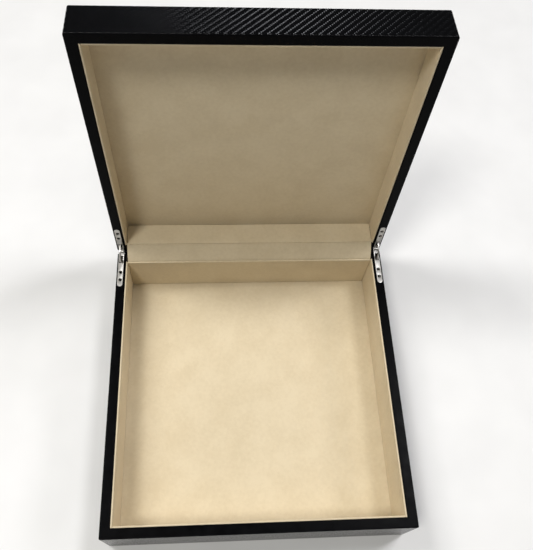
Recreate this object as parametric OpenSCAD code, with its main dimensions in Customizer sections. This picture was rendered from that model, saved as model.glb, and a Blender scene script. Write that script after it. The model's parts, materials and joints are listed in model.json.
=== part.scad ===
// Hinged watch box: a square base and a shallow lid, each a tray of boards wrapped in embossed
// leatherette, trimmed along the rim and lined with suede, on two quadrant hinges with stays.
//
// Both trays are drawn in one tray frame: the rim face is z = 0, the tray opens towards +Z and its
// floor is below. in_base() and in_lid() put a tray piece in its place.

/* [Box] */
// Outside width, left to right
box_w = 260; // [200:1:320]
// Outside depth, front to back
box_d = 260; // [200:1:320]
// Height of the base, underside to rim
base_h = 55; // [45:1:80]
// Height of the lid, rim to top
lid_h = 28; // [26:1:50]
// Angle between the rims at which the stays stop the lid, and at which the box is drawn
open_angle = 93; // [85:1:100]

/* [Walls] */
// Thickness of the four wall boards of each tray
board_t = 7; // [6.5:0.5:9]
// Thickness of the bottom board and the top board
panel_t = 3; // [2:0.5:5]
// Thickness of the embossed outer wrap
wrap_t = 0.8; // [0.5:0.1:1.2]
// Thickness of the smooth rim trim
trim_t = 0.7; // [0.5:0.1:1]
// Thickness of each suede-wrapped liner board
liner_t = 1.6; // [1.2:0.1:2.5]
// Thickness of the suede-wrapped board on the floor of the base
floor_t = 3; // [1.6:0.1:5]
// Thickness of the flocked sheet under the base
sheet_t = 0.5; // [0.3:0.1:1]

/* [Hinges] */
// Length of a hinge leaf inside the rim
leaf_l = 35.5; // [32:0.5:45]
// Width of a hinge leaf
leaf_w = 5; // [4.6:0.1:5.5]
// Thickness of a hinge leaf
leaf_t = 1.6; // [1.4:0.1:2]
// Distance of the hinge pin behind the rear wall
pin_behind = 2.2; // [2.1:0.1:3]
// Radius of the hinge pin
pin_r = 0.75; // [0.6:0.05:0.9]
// Middle radius of the quadrant stay
stay_r = 11.2; // [10.5:0.1:12]

/* [Hidden] */
$fn = 48;
e = 0.01; // overshoot of a cut, so that no face is left behind

rim_gap = 0.6; // between the two rims when the box is shut
half_gap = rim_gap / 2;
half_w = box_w / 2;
half_d = box_d / 2;

board_x = half_w - wrap_t; // outer face of the side boards
board_y = half_d - wrap_t; // outer face of the front and rear boards
inner_x = board_x - board_t; // inner face of the side boards
inner_y = board_y - board_t;
liner_x = inner_x - trim_t; // outer face of the side liners
liner_y = inner_y - trim_t;
cavity_x = liner_x - liner_t; // half width of the space inside
cavity_y = liner_y - liner_t;

turn_in = 10; // depth of the rim trim inside the tray
turn_under = 12; // width of the wrap folded under the base
sheet_inset = 4; // from the edge of the base to the flocked sheet
liner_drop = 0.3; // liners end this far below the rim face
gusset_t = 0.6;
spine_x = 123.4; // half width of the strip behind the joint
spine_t = 0.4;
spine_l = 9; // how far it is glued down each rear wall

lid_z = base_h + rim_gap; // rim face of the shut lid
axis_y = half_d + pin_behind; // hinge axis
axis_z = base_h + half_gap;

leaf_x = board_x - 2.9; // centre line of the hinge leaves
leaf_front = half_d - leaf_l; // far end of a leaf
fit = 0.1; // leaf to mortise, all round
barrel_r = 1.8;
pin_fit = 0.05; // radial running clearance of the pin in the lid's knuckle
knuckle_half = 0.85; // half width of the lid's knuckle
knuckle_gap = 0.1; // between neighbouring knuckles
neck_t = 1.2;

screw_at = [7, 15]; // centres of the two screws, from the far end of a leaf
screw_r = 0.9;
screw_head_r = 1.9;
screw_head_h = 1;
screw_l = 9;

stay_t = 1.2; // thickness of the stay, across the box
stay_w = 2.4; // radial width of the stay
stay_side = 1; // stay to leaf slot, each side
stay_ends = 0.4; // stay to the slot's far end
slot_rear = half_d - 2; // the slot's near end, just short of the knuckles
stay_seat = 0.15; // hook to leaf when the lid is open
stay_overlap = 13; // degrees that the arc runs on past each rim
hook_h = 1.3;
hook_out = 2; // the hook's reach beyond the outside of the arm
pocket_w = stay_t + 2 * stay_side + 0.2;
pocket_rear = axis_y - 3.7;
pocket_front = axis_y - stay_r - stay_w / 2 - hook_out - 0.8;
pocket_depth = stay_r + 2.4;

// ---- placing ----------------------------------------------------------------------------------

module in_base() {
    translate([0, 0, base_h]) children();
}

// Turns what is drawn for the shut box back about the hinge axis by an angle.
module swung(angle) {
    translate([0, axis_y, axis_z]) rotate([-angle, 0, 0]) translate([0, -axis_y, -axis_z]) children();
}

module in_lid() {
    swung(open_angle) translate([0, 0, lid_z]) mirror([0, 0, 1]) children();
}

// A block from its lowest corner to its highest.
module block(low, high) {
    translate(low) cube(high - low);
}

// ---- tray pieces, in the tray frame -----------------------------------------------------------

// What the leaf, its two screws and its stay take out of a side wall.
module hinge_mortise() {
    for (side = [-1, 1]) translate([side * leaf_x, 0, 0]) {
        leaf_outline(leaf_t, fit, half_d + 2);
        block([-pocket_w / 2, pocket_front, -half_gap - pocket_depth], [pocket_w / 2, pocket_rear, -leaf_t + e]);
        for (at = screw_at) translate([0, leaf_front + at, 0]) screw_body();
    }
}

// The long plate of a leaf, round at its far end, from the rim face down.
module leaf_outline(depth, grow, rear_y) {
    r = leaf_w / 2 + grow;
    translate([0, leaf_front + leaf_w / 2, -depth]) cylinder(r = r, h = depth + e);
    block([-r, leaf_front + leaf_w / 2, -depth], [r, rear_y, e]);
}

module wall_side(h, side) {
    difference() {
        block([side > 0 ? inner_x : -board_x, -board_y, -h],
              [side > 0 ? board_x : -inner_x, board_y, -trim_t]);
        hinge_mortise();
    }
}

module wall_end(h, side) {
    block([-inner_x, side > 0 ? inner_y : -board_y, -h],
          [inner_x, side > 0 ? board_y : -inner_y, -trim_t]);
}

module panel(h) {
    block([-board_x, -board_y, -h], [board_x, board_y, -h + panel_t]);
}

// The wrap round the four walls, and the sheet beyond them with a hole of the given half sizes in it.
module wrap(h, hole) {
    difference() {
        block([-half_w, -half_d, -h], [half_w, half_d, -trim_t]);
        block([-board_x, -board_y, -h + wrap_t], [board_x, board_y, 0]);
        if (hole[0] > 0) block([-hole[0], -hole[1], -h - 1], [hole[0], hole[1], 0]);
        hinge_mortise();
    }
}

// A U of smooth trim on the front and side rims, folded down inside the tray.
module rim_trim() {
    difference() {
        block([-half_w, -half_d, -trim_t - turn_in], [half_w, half_d, 0]);
        block([-liner_x, -liner_y, -turn_in - 1], [liner_x, half_d + 1, 1]);
        difference() {
            block([-half_w - 1, -half_d - 1, -turn_in - 1], [half_w + 1, half_d + 1, -trim_t]);
            block([-inner_x, -inner_y, -turn_in - 2], [inner_x, inner_y, 0]);
        }
        hinge_mortise();
    }
}

module liner_panel(h, t) {
    block([-liner_x, -liner_y, -h], [liner_x, liner_y, -h + t]);
}

module liner_side(h, side) {
    block([side > 0 ? cavity_x : -liner_x, -liner_y, -h],
          [side > 0 ? liner_x : -cavity_x, liner_y, -liner_drop]);
}

module liner_end(h, side) {
    block([-cavity_x, side > 0 ? cavity_y : -liner_y, -h],
          [cavity_x, side > 0 ? liner_y : -cavity_y, side > 0 ? -trim_t : -liner_drop]);
}

// One half of the suede strip that hides the joint: it lies on the rear wall.
module gusset_flap() {
    block([-liner_x + 0.3, liner_y, -trim_t], [liner_x - 0.3, half_d, -trim_t + gusset_t]);
}

// One half of the black strip that closes the joint from behind: it lies on the outside of the rear wall.
module spine_flap() {
    block([-spine_x, half_d, -trim_t - spine_l], [spine_x, half_d + spine_t, -trim_t]);
}

// ---- hinge pieces, in the tray frame ----------------------------------------------------------

module screw_body() {
    translate([0, 0, -screw_head_h]) cylinder(r1 = screw_r, r2 = screw_head_r, h = screw_head_h);
    translate([0, 0, -screw_l + 2]) cylinder(r = screw_r, h = screw_l - 2 - screw_head_h + e);
    translate([0, 0, -screw_l]) cylinder(r1 = 0.2, r2 = screw_r, h = 2);
}

module screw() {
    difference() {
        screw_body();
        for (turn = [0, 90]) rotate([0, 0, turn]) block([-1.1, -0.2, -0.5], [1.1, 0.2, e]);
    }
}

module screws() {
    for (side = [-1, 1], at = screw_at) translate([side * leaf_x, leaf_front + at, 0]) screw();
}

// A cylinder on the hinge axis, between two distances from the leaf's centre line.
module on_axis(r, from, to) {
    translate([from, axis_y, half_gap]) rotate([0, 90, 0]) cylinder(r = r, h = to - from);
}

// One knuckle with the neck that joins it to the plate.
module knuckle(from, to) {
    reach = sqrt(barrel_r * barrel_r - (half_gap + neck_t) * (half_gap + neck_t));
    on_axis(barrel_r, from, to);
    block([from, half_d - 1, -neck_t], [to, axis_y - reach, 0]);
}

// The plate with its slot for the stay and its countersunk holes. Each pair in spans is one knuckle.
module leaf(spans, bore_r) {
    difference() {
        union() {
            intersection() {
                leaf_outline(leaf_t, 0, half_d);
                block([-leaf_w, leaf_front - 1, -leaf_t], [leaf_w, half_d, 0]);
            }
            for (span = spans) knuckle(span[0], span[1]);
        }
        on_axis(bore_r, -leaf_w, leaf_w);
        block([-stay_t / 2 - stay_side, axis_y - stay_r - stay_w / 2 - stay_ends, -leaf_t - 1],
              [stay_t / 2 + stay_side, slot_rear, 1]);
        for (at = screw_at) translate([0, leaf_front + at, 0]) screw_body();
    }
}

module base_leaf() {
    inner = knuckle_half + knuckle_gap;
    leaf([[-leaf_w / 2, -inner], [inner, leaf_w / 2]], pin_r);
}

module lid_leaf() {
    leaf([[-knuckle_half, knuckle_half]], pin_r + pin_fit);
}

module hinge_pin() {
    on_axis(pin_r, -leaf_w / 2, leaf_w / 2);
    for (side = [-1, 1]) on_axis(pin_r + 0.35, side * (leaf_w / 2 + 0.15) - 0.15, side * (leaf_w / 2 + 0.15) + 0.15);
}

// The hook that catches under a leaf, in the tray frame.
module stay_hook() {
    top = -leaf_t - stay_seat;
    block([-stay_t / 2, axis_y - stay_r - stay_w / 2 - hook_out, top - hook_h],
          [stay_t / 2, axis_y - stay_r + stay_w / 2, top]);
}

// A fan about the hinge axis, from below the base's rim to behind the lid's.
module stay_fan() {
    reach = 2 * stay_r;
    angles = [-stay_overlap, open_angle / 3, open_angle * 2 / 3, open_angle + stay_overlap];
    translate([stay_t, axis_y, axis_z]) rotate([90, 0, -90]) linear_extrude(2 * stay_t)
        polygon(concat([[0, 0]], [for (angle = angles) [reach * cos(angle), reach * sin(angle)]]));
}

// An arc about the hinge axis with a hook at each end.
module stay() {
    intersection() {
        in_base() difference() {
            on_axis(stay_r + stay_w / 2, -stay_t / 2, stay_t / 2);
            on_axis(stay_r - stay_w / 2, -stay_t, stay_t);
        }
        stay_fan();
    }
    in_base() stay_hook();
    in_lid() stay_hook();
}

// ---- colours ----------------------------------------------------------------------------------

module carbon() {
    color("#17181a") children();
}

module smooth_black() {
    color("#0c0c0d") children();
}

module suede() {
    color("#e3d2b4") children();
}

module fibreboard() {
    color("#3a322a") children();
}

module flock() {
    color("#202022") children();
}

module nickel() {
    color("#b9bbb8") children();
}

// ---- the box ----------------------------------------------------------------------------------

bottom_z = base_h - sheet_t; // depth of the wrap's underside, below the base's rim
floor_z = bottom_z - wrap_t - panel_t; // depth of the bottom board's upper face
ceiling_z = lid_h - wrap_t - panel_t; // depth of the top board's inner face, from the lid's rim

module base_bottom_board() fibreboard() in_base() panel(bottom_z - wrap_t);
module base_front_board() fibreboard() in_base() wall_end(floor_z, -1);
module base_rear_board() fibreboard() in_base() wall_end(floor_z, 1);
module base_left_board() fibreboard() in_base() wall_side(floor_z, -1);
module base_right_board() fibreboard() in_base() wall_side(floor_z, 1);
module base_wrap() carbon() in_base() wrap(bottom_z, [half_w - turn_under, half_d - turn_under]);
module base_rim_trim() smooth_black() in_base() rim_trim();
module base_flock_sheet() flock() block([-half_w + sheet_inset, -half_d + sheet_inset, 0],
                                        [half_w - sheet_inset, half_d - sheet_inset, sheet_t]);
module base_floor_liner() suede() in_base() liner_panel(floor_z, floor_t);
module base_front_liner() suede() in_base() liner_end(floor_z - floor_t, -1);
module base_rear_liner() suede() in_base() liner_end(floor_z - floor_t, 1);
module base_left_liner() suede() in_base() liner_side(floor_z - floor_t, -1);
module base_right_liner() suede() in_base() liner_side(floor_z - floor_t, 1);
module gusset_base_flap() suede() in_base() gusset_flap();
module spine_base_flap() smooth_black() in_base() spine_flap();
module left_base_leaf() nickel() in_base() translate([-leaf_x, 0, 0]) base_leaf();
module right_base_leaf() nickel() in_base() translate([leaf_x, 0, 0]) base_leaf();
module left_hinge_pin() nickel() in_base() translate([-leaf_x, 0, 0]) hinge_pin();
module right_hinge_pin() nickel() in_base() translate([leaf_x, 0, 0]) hinge_pin();
module base_hinge_screws() nickel() in_base() screws();

module lid_top_board() fibreboard() in_lid() panel(lid_h - wrap_t);
module lid_front_board() fibreboard() in_lid() wall_end(ceiling_z, -1);
module lid_rear_board() fibreboard() in_lid() wall_end(ceiling_z, 1);
module lid_left_board() fibreboard() in_lid() wall_side(ceiling_z, -1);
module lid_right_board() fibreboard() in_lid() wall_side(ceiling_z, 1);
module lid_wrap() carbon() in_lid() wrap(lid_h, [0, 0]);
module lid_rim_trim() smooth_black() in_lid() rim_trim();
module lid_top_liner() suede() in_lid() liner_panel(ceiling_z, liner_t);
module lid_front_liner() suede() in_lid() liner_end(ceiling_z - liner_t, -1);
module lid_rear_liner() suede() in_lid() liner_end(ceiling_z - liner_t, 1);
module lid_left_liner() suede() in_lid() liner_side(ceiling_z - liner_t, -1);
module lid_right_liner() suede() in_lid() liner_side(ceiling_z - liner_t, 1);
module gusset_lid_flap() suede() in_lid() gusset_flap();
module spine_lid_flap() smooth_black() in_lid() spine_flap();
module left_lid_leaf() nickel() in_lid() translate([-leaf_x, 0, 0]) lid_leaf();
module right_lid_leaf() nickel() in_lid() translate([leaf_x, 0, 0]) lid_leaf();
module lid_hinge_screws() nickel() in_lid() screws();

module left_stay() nickel() translate([-leaf_x, 0, 0]) stay();
module right_stay() nickel() translate([leaf_x, 0, 0]) stay();

base_bottom_board();
base_front_board();
base_rear_board();
base_left_board();
base_right_board();
base_wrap();
base_rim_trim();
base_flock_sheet();
base_floor_liner();
base_front_liner();
base_rear_liner();
base_left_liner();
base_right_liner();
gusset_base_flap();
spine_base_flap();
left_base_leaf();
right_base_leaf();
left_hinge_pin();
right_hinge_pin();
base_hinge_screws();
lid_top_board();
lid_front_board();
lid_rear_board();
lid_left_board();
lid_right_board();
lid_wrap();
lid_rim_trim();
lid_top_liner();
lid_front_liner();
lid_rear_liner();
lid_left_liner();
lid_right_liner();
gusset_lid_flap();
spine_lid_flap();
left_lid_leaf();
right_lid_leaf();
lid_hinge_screws();
left_stay();
right_stay();
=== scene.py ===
"""Looks of a square, shallow watch box that stands open on two quadrant stay hinges.

Each half of the box is a tray. A tray is built in its own tray frame, with the rim face at z = 0, the
opening towards +Z and the rear wall towards +Y, and is then placed: the base stands upright, and the lid is
turned over onto the base and swung open about the hinge pins. Lengths are in metres.
"""

from __future__ import annotations

import json  # noqa: E402
import logging  # noqa: E402
import math  # noqa: E402
from dataclasses import dataclass, field  # noqa: E402
from enum import Enum  # noqa: E402
from itertools import accumulate  # noqa: E402
from typing import Callable, Iterable, Sequence  # noqa: E402

import bmesh  # noqa: E402
import bpy  # noqa: E402
from mathutils import Matrix, Vector, noise  # noqa: E402


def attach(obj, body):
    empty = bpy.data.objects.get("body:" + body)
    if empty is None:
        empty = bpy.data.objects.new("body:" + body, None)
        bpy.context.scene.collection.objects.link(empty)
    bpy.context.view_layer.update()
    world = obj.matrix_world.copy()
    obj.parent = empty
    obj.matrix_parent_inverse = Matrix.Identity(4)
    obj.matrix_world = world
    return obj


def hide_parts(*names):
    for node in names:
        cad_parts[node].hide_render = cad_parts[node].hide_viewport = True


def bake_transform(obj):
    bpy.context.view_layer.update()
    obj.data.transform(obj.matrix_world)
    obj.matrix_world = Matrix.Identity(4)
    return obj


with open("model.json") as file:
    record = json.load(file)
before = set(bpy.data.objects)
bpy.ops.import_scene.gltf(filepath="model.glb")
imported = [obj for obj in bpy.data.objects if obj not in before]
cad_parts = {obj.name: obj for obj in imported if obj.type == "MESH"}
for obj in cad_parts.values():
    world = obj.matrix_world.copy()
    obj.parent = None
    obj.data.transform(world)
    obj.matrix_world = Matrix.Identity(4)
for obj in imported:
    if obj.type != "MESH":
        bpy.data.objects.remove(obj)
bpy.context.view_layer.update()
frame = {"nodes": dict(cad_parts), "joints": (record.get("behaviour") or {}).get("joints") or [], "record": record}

log = logging.getLogger("watch_box")

MM = 0.001
WELD = 0.002 * MM
SHARP = 38.0
Point = tuple[float, float]
Rgba = tuple[float, float, float, float]
Object = bpy.types.Object
Socket = bpy.types.NodeSocket
Vertex = bmesh.types.BMVert


# ---- nodes ----


def linear(hex_colour: str) -> Rgba:
    """Turns an sRGB hex colour into the linear colour that shaders use.

    Args:
        hex_colour: Six hexadecimal digits after a hash sign.

    Returns:
        Linear red, green, blue and an alpha of one.
    """
    channels = [int(hex_colour[i : i + 2], 16) / 255 for i in (1, 3, 5)]
    red, green, blue = (c / 12.92 if c <= 0.04045 else ((c + 0.055) / 1.055) ** 2.4 for c in channels)
    return (red, green, blue, 1.0)


def add_node(
    tree: bpy.types.NodeTree, kind: str, inputs: dict | None = None, **settings: object
) -> bpy.types.Node:
    """Adds one node to a tree, with its settings, values and links.

    Args:
        tree: The shader or geometry tree that the node joins.
        kind: The node's type, such as "ShaderNodeMath".
        inputs: Socket name or number to a value, or to the output sockets that feed it.
        **settings: The node's own properties, such as operation="ADD".

    Returns:
        The new node.
    """
    node = tree.nodes.new(kind)
    for name, value in settings.items():
        setattr(node, name, value)
    for key, value in (inputs or {}).items():
        socket = node.inputs[key]
        for item in value if isinstance(value, list) else [value]:
            if isinstance(item, Socket):
                tree.links.new(item, socket)
            else:
                socket.default_value = item
    return node


@dataclass(frozen=True)
class Brush:
    """The node tree of a material and its Principled shader, with what the finishes have in common."""

    tree: bpy.types.NodeTree
    shader: bpy.types.Node

    def add(self, kind: str, inputs: dict, output: str, **settings: object) -> Socket:
        """Adds a node, as add_node does, and gives its output of that name."""
        return add_node(self.tree, kind, inputs, **settings).outputs[output]

    def calc(self, operation: str, *values: object) -> Socket:
        """Adds a Math node and gives its value."""
        return self.add("ShaderNodeMath", dict(enumerate(values)), "Value", operation=operation)

    def feed(self, name: str, source: Socket) -> None:
        """Links an output to the shader's input of that name."""
        self.tree.links.new(source, self.shader.inputs[name])

    def millimetres(self, source: str = "Object") -> Socket:
        """Gives one of the Texture Coordinate node's vectors, in millimetres."""
        place = self.add("ShaderNodeTexCoord", {}, source)
        return self.add("ShaderNodeVectorMath", {0: place, "Scale": 1 / MM}, "Vector", operation="SCALE")

    def noise(self, place: Socket, grain: float, detail: float = 3.0) -> Socket:
        """Adds a noise, around one half, whose features are about one grain of some millimetres wide."""
        return self.add("ShaderNodeTexNoise", {"Vector": place, "Scale": 1 / grain, "Detail": detail}, "Fac")

    def shade(self, factor: Socket, low: str, high: str, start: float, end: float) -> None:
        """Colours the surface between two shades.

        Args:
            factor: The value that chooses the shade.
            low: Hex colour at the start.
            high: Hex colour at the end.
            start: Value that gives the low shade.
            end: Value that gives the high shade.
        """
        ramp = add_node(self.tree, "ShaderNodeValToRGB", {"Fac": factor})
        first, last = ramp.color_ramp.elements
        first.position, last.position = start, end
        first.color, last.color = linear(low), linear(high)
        self.feed("Base Color", ramp.outputs["Color"])

    def gloss(self, cloud: Socket, low: float, high: float) -> None:
        """Lets the roughness go from low to high with a noise."""
        inputs = {"Value": cloud, "From Min": 0.3, "From Max": 0.7, "To Min": low, "To Max": high}
        self.feed("Roughness", self.add("ShaderNodeMapRange", inputs, "Result"))

    def relief(self, height: Socket, depth: float, under: Socket | None = None) -> Socket:
        """Feeds a height pattern to the shader's normal.

        Args:
            height: The pattern, from 0 to 1.
            depth: Its real depth in millimetres.
            under: A normal that this relief lies on.

        Returns:
            The new normal, for a finer relief on top.
        """
        inputs = {"Height": height, "Distance": depth * MM}
        if under:
            inputs["Normal"] = under
        normal = self.add("ShaderNodeBump", inputs, "Normal")
        self.feed("Normal", normal)
        return normal


# ---- finishes ----


@dataclass(frozen=True)
class Finish:
    """A material of the box: what it is called, and how rough and how bright its gloss is."""

    name: str
    roughness: float = 0.5
    ior: float = 1.5
    specular: float = 0.5

    def material(self) -> bpy.types.Material:
        """Makes the material, or finds it if it is already made.

        Returns:
            The material, with its whole node tree.
        """
        made = bpy.data.materials.get(self.name)
        if made:
            return made
        made = bpy.data.materials.new(self.name)
        made.use_nodes = True
        tree = made.node_tree
        tree.nodes.clear()
        inputs = {"Roughness": self.roughness, "IOR": self.ior, "Specular IOR Level": self.specular}
        shader = add_node(tree, "ShaderNodeBsdfPrincipled", inputs)
        add_node(tree, "ShaderNodeOutputMaterial", {"Surface": shader.outputs["BSDF"]})
        self.paint(Brush(tree, shader))
        return made

    def paint(self, brush: Brush) -> None:
        """Adds this finish's own pattern to its material's tree."""
        raise NotImplementedError


@dataclass(frozen=True)
class TwillLeatherette(Finish):
    """Polyurethane leatherette on a cloth backing, hot-embossed as a 2/2 twill of carbon tows.

    Each tow is a low rounded rib that floats over two tows and dives under two. A narrow ridge runs along
    the diagonal of the floats, so the eye sees thin diagonal lines, which flash as the light moves.

    Attributes:
        tow: Width of a tow in millimetres.
        filaments: Ribs across a tow.
        emboss: Depth of the whole relief in millimetres.
        ridge: The ridges' share of the relief.
        sharp: How narrow the ridges are.
        rib: The filaments' share of the relief.
        flank: How full a tow is at its sides.
        weft_painted_light: How much of the painted highlight colour the weft takes; the rest of the weft is
            painted shade.
    """

    tow: float = 1.41
    filaments: float = 5.0
    emboss: float = 0.36
    ridge: float = 0.78
    sharp: float = 4.0
    rib: float = 0.01
    flank: float = 0.6
    weft_painted_light: float = 0.4
    # painted light: lit is the painted highlight colour on the crowns of the tows, deep the painted shade colour
    # in the hollows
    lit: str = "#101113"
    deep: str = "#040405"

    def paint(self, brush: Brush) -> None:
        """Adds the woven relief, the fine film grain and painted light: a painted highlight on the crowns of the
        tows, and painted shade in the hollows and on the weft.
        """
        calc = brush.calc
        sheet = add_node(brush.tree, "ShaderNodeSeparateXYZ", {0: brush.millimetres("UV")}).outputs
        across, along = calc("DIVIDE", sheet["X"], self.tow), calc("DIVIDE", sheet["Y"], self.tow)
        x, y = calc("FRACT", across), calc("FRACT", along)
        # the weave repeats every four tows, and the warp lies on top for two of them
        step = calc("FLOORED_MODULO", calc("SUBTRACT", calc("FLOOR", across), calc("FLOOR", along)), 4.0)
        warp = calc("LESS_THAN", step, 1.5)
        weft = calc("SUBTRACT", 1.0, warp)
        # how far along its float a point is, from 0 to 1
        warp_way = calc("MULTIPLY", calc("SUBTRACT", calc("ADD", y, 1.0), step), 0.5)
        weft_way = calc("MULTIPLY", calc("SUBTRACT", calc("ADD", x, step), 2.0), 0.5)
        way = calc("ADD", calc("MULTIPLY", warp_way, warp), calc("MULTIPLY", weft_way, weft))
        side = calc("ADD", calc("MULTIPLY", x, warp), calc("MULTIPLY", y, weft))
        arch = calc("SINE", calc("MULTIPLY", way, math.pi))
        crown = calc("SINE", calc("MULTIPLY", side, math.pi))
        ribs = calc("COSINE", calc("MULTIPLY", side, 2 * math.pi * self.filaments))
        weave = calc("MULTIPLY", calc("POWER", crown, self.flank), arch)
        off_line = calc("SUBTRACT", calc("SUBTRACT", across, along), 0.5)
        ridge = calc("ABSOLUTE", calc("COSINE", calc("MULTIPLY", off_line, math.pi / 4)))
        ridge = calc("MULTIPLY", calc("POWER", ridge, self.sharp), self.ridge)
        height = calc("ADD", ridge, calc("MULTIPLY", weave, 1 - self.ridge))
        height = calc("ADD", height, calc("MULTIPLY", ribs, self.rib))
        normal = brush.relief(height, self.emboss)
        brush.relief(brush.noise(brush.millimetres(), grain=0.4), depth=0.002, under=normal)
        # painted shade on the weft: it takes only a share of the painted highlight that the warp gets
        painted_light_share = calc("ADD", calc("MULTIPLY", warp, 1 - self.weft_painted_light), self.weft_painted_light)
        # the colour paints a highlight on the crowns of the tows and shade in the hollows between them
        brush.shade(calc("MULTIPLY", weave, painted_light_share), self.deep, self.lit, start=0.0, end=1.0)


@dataclass(frozen=True)
class SmoothLeatherette(Finish):
    """Smooth polyurethane leatherette: a black film with a faint pebble and a soft, slightly uneven gloss."""

    colour: str = "#030304"
    worn: str = "#060608"
    pebble: float = 0.45

    def paint(self, brush: Brush) -> None:
        """Adds the pebble, the ripples of a tightly pulled film and a cloudy gloss."""
        place = brush.millimetres()
        cloud = brush.noise(place, grain=9.0)
        brush.shade(cloud, self.colour, self.worn, start=0.35, end=0.75)
        brush.gloss(cloud, self.roughness - 0.05, self.roughness + 0.07)
        cells = {"Vector": place, "Scale": 1 / self.pebble}
        pebbles = brush.add("ShaderNodeTexVoronoi", cells, "Distance", feature="SMOOTH_F1")
        normal = brush.relief(pebbles, depth=0.012)
        brush.relief(brush.noise(place, grain=2.4), depth=0.05, under=normal)


@dataclass(frozen=True)
class Microsuede(Finish):
    """Polyester microsuede: a short brushed nap, matt, paler at glancing angles and mottled."""

    pale: str = "#D9CBAE"
    shaded: str = "#D1C2A4"
    sheen: float = 0.25
    sheen_roughness: float = 0.45
    bloom: str = "#FFF4E2"

    def paint(self, brush: Brush) -> None:
        """Adds the mottling of the nap, its fibres and the bloom at glancing angles."""
        place = brush.millimetres()
        brushed = brush.noise(place, grain=3.0, detail=4.0)
        mix = {"Factor": 0.45, "A": brush.noise(place, grain=24.0, detail=2.0), "B": brushed}
        mottling = brush.add("ShaderNodeMix", mix, "Result")
        brush.shade(mottling, self.shaded, self.pale, start=0.36, end=0.62)
        sockets = brush.shader.inputs
        sockets["Sheen Weight"].default_value = self.sheen
        sockets["Sheen Roughness"].default_value = self.sheen_roughness
        sockets["Sheen Tint"].default_value = linear(self.bloom)
        # the nap is 0.1 mm thick fibre, drawn at 0.35 mm so that it shows
        normal = brush.relief(brush.noise(place, grain=0.35, detail=4.0), depth=0.05)
        brush.relief(brushed, depth=0.12, under=normal)


@dataclass(frozen=True)
class NickelPlate(Finish):
    """Nickel-plated steel, pressed and barrel-polished: warm grey metal with fine tumbling scratches."""

    colour: str = "#8F8D88"
    dull: str = "#54524E"

    def paint(self, brush: Brush) -> None:
        """Adds the tumbled surface and its dull patches."""
        place = brush.millimetres()
        brush.shader.inputs["Metallic"].default_value = 1.0
        patches = brush.noise(place, grain=1.6, detail=4.0)
        brush.shade(patches, self.dull, self.colour, start=0.3, end=0.6)
        brush.gloss(patches, self.roughness + 0.04, self.roughness - 0.03)
        brush.relief(brush.noise(place, grain=0.6), depth=0.012)


@dataclass(frozen=True)
class Grained(Finish):
    """A matt material in which one grain gives both the shade and the relief.

    Attributes:
        grain: Width of the grain in millimetres, and detail its octaves.
        span: Values of the grain that give the low and the high shade.
        depth: Depth of the relief in millimetres, or zero for none.
    """

    low: str = "#000000"
    high: str = "#FFFFFF"
    grain: float = 1.0
    detail: float = 4.0
    span: Point = (0.3, 0.7)
    depth: float = 0.05
    sheen: float = 0.0

    def paint(self, brush: Brush) -> None:
        """Adds the grain's shades, its relief and the sheen."""
        grain = brush.noise(brush.millimetres(), self.grain, self.detail)
        brush.shade(grain, self.low, self.high, *self.span)
        brush.shader.inputs["Sheen Weight"].default_value = self.sheen
        if self.depth:
            brush.relief(grain, self.depth)


TWILL = TwillLeatherette("embossed_pu_leatherette", roughness=0.15, specular=0.2)
SMOOTH = SmoothLeatherette("smooth_pu_leatherette", roughness=0.32, specular=0.03)
SUEDE = Microsuede("cream_microsuede", roughness=0.92, ior=1.45, specular=0.12)
# nylon dust on glue, under the box
FLOCK = Grained("black_flocked_paper", 0.95, specular=0.1, low="#121214", high="#232326", grain=0.3,
                span=(0.4, 0.7), sheen=0.3)
NICKEL = NickelPlate("nickel_plated_steel", roughness=0.13)
# painted shade: the screws are the leaves' nickel painted darker, so that they read as shaded screw holes
SCREW_PAINTED_SHADE = NickelPlate("nickel_plated_screw_steel", roughness=0.2, colour="#5E5C57", dull="#34322F")
# sawn and stained, with short brown fibres showing through
BOARD = Grained("black_stained_fibreboard", 0.85, specular=0.25, low="#2C241B", high="#16120E", grain=0.6,
                detail=5.0, span=(0.35, 0.6))
# barely visible cloudiness
TABLE = Grained("white_laminate", 0.55, specular=0.3, low="#E8E8E7", high="#EDEDEC", grain=60.0, detail=2.0,
                depth=0.0)


# ---- building meshes ----


def link(name: str, data: bpy.types.ID) -> Object:
    """Makes an object of some data and links it into the scene."""
    made = bpy.data.objects.new(name, data)
    bpy.context.scene.collection.objects.link(made)
    return made


def coat(data: bpy.types.Mesh, finish: Finish, sharp: float = SHARP) -> bpy.types.Mesh:
    """Gives a mesh one material, and smooth shading between its sharp edges.

    Args:
        data: The mesh.
        finish: Its material.
        sharp: Angle in degrees from which an edge is sharp.

    Returns:
        The same mesh.
    """
    data.materials.clear()
    data.materials.append(finish.material())
    data.polygons.foreach_set("material_index", [0] * len(data.polygons))
    data.shade_smooth()
    data.set_sharp_from_angle(angle=math.radians(sharp))
    return data


def as_object(draft: bmesh.types.BMesh, name: str, finish: Finish) -> Object:
    """Turns a draft mesh into a coated object, and frees the draft.

    Args:
        draft: The draft.
        name: The object's name.
        finish: Its material.

    Returns:
        The object.
    """
    data = bpy.data.meshes.new(name)
    draft.to_mesh(data)
    draft.free()
    return link(name, coat(data, finish))


def evaluated(piece: Object) -> bpy.types.Mesh:
    """Gives the mesh that a piece's modifiers make, and removes the modifiers.

    Args:
        piece: The object to read.

    Returns:
        A plain mesh.
    """
    graph = bpy.context.evaluated_depsgraph_get()
    data = bpy.data.meshes.new_from_object(piece.evaluated_get(graph), depsgraph=graph)
    piece.modifiers.clear()
    return data


def dress(piece: Object, body: str, slot: str, *nodes: str) -> Object:
    """Lets a piece ride on a body and stand for nodes of it.

    Args:
        piece: The finished piece.
        body: The body that it moves with.
        slot: Not used.
        *nodes: The nodes that it stands for.

    Returns:
        The same piece.
    """
    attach(piece, body)
    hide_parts(*nodes)
    return piece


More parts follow.
